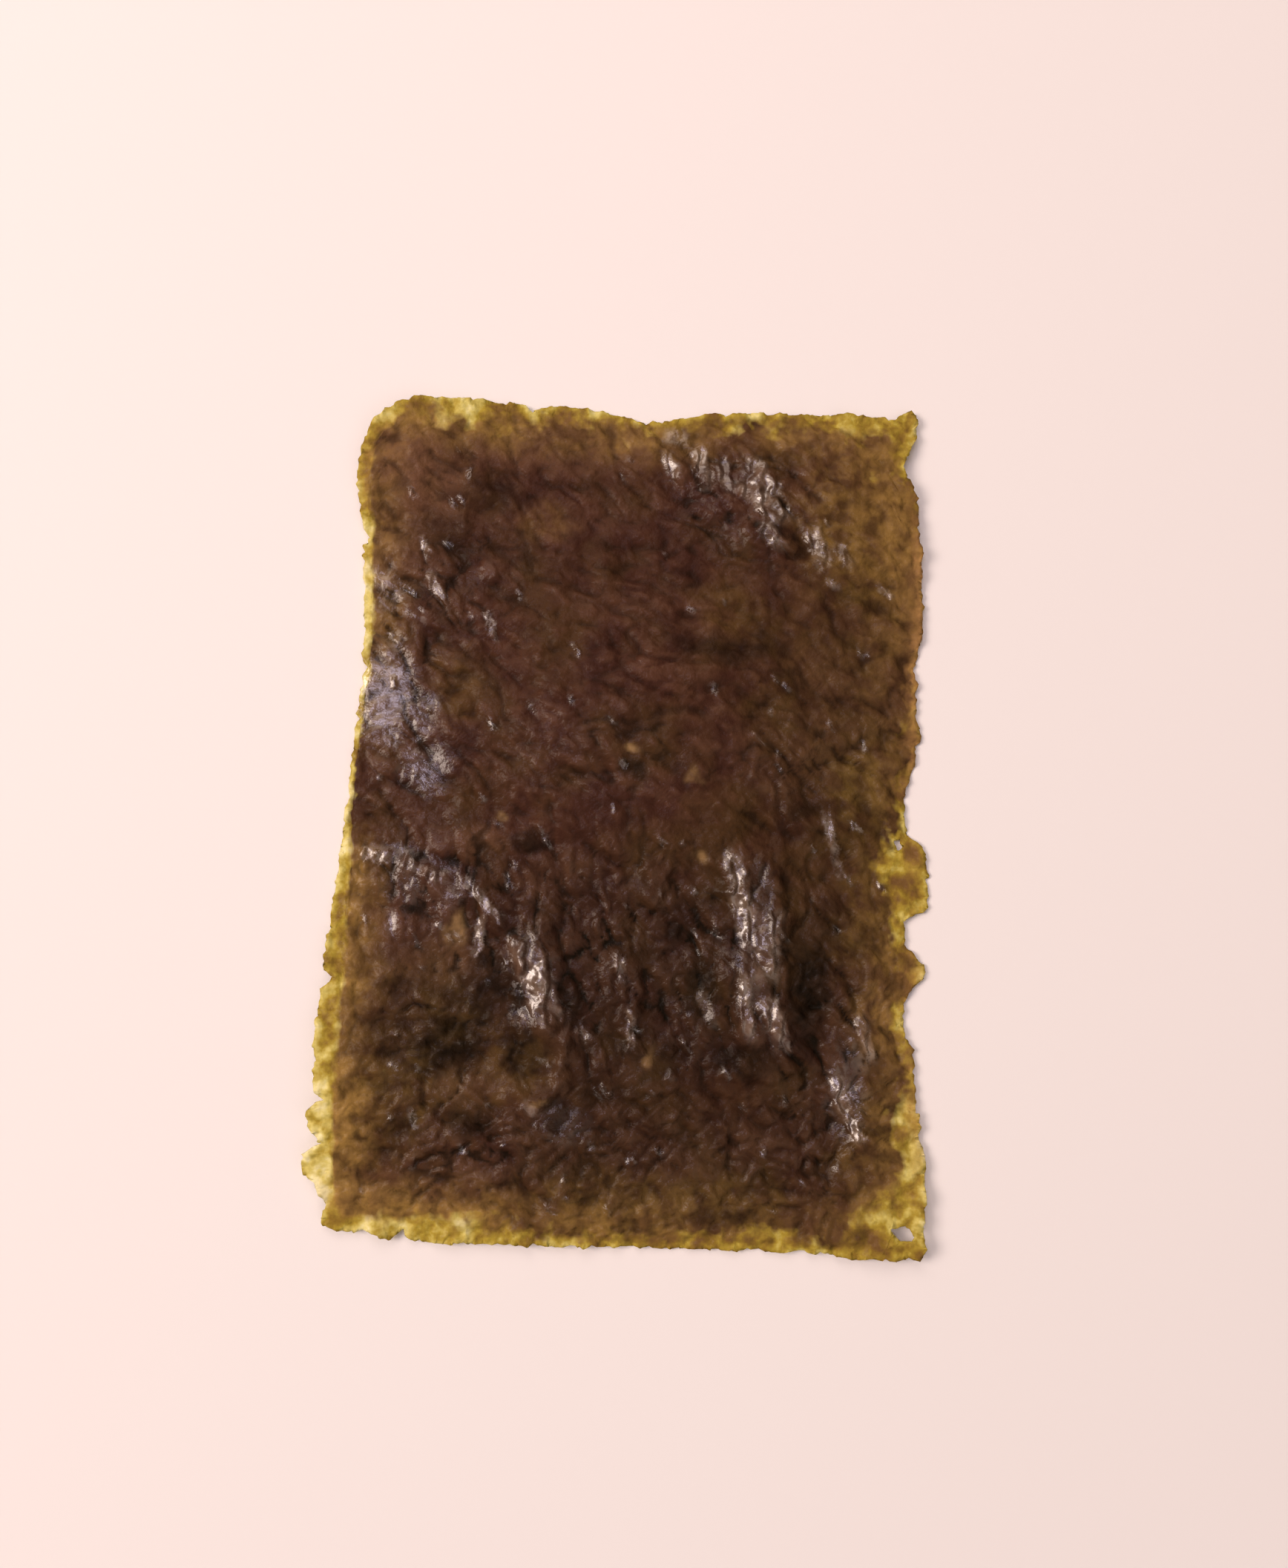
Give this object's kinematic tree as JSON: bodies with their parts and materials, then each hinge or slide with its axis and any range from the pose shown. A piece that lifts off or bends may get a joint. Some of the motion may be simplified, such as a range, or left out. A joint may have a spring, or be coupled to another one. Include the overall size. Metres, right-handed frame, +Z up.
{
  "type": "roasted nori sheet",
  "caption": "Thin wavy rectangle of roasted seaweed with a dark crinkled field, a thinner yellow-green see-through margin and torn edges, eaten as a dry snack",
  "frame": {"origin": "on the floor, under the middle of the sheet's box", "axes": "+X across the sheet, +Y along its long side, +Z up through its upper face"},
  "size_m": [0.0648, 0.0912, 0.0024],
  "materials": {
    "nori": "crinkled, oily dark brown-olive with a yellow-green see-through margin"
  },
  "bodies": {
    "root": {"nori_sheet": "nori"}
  },
  "joints": []
}
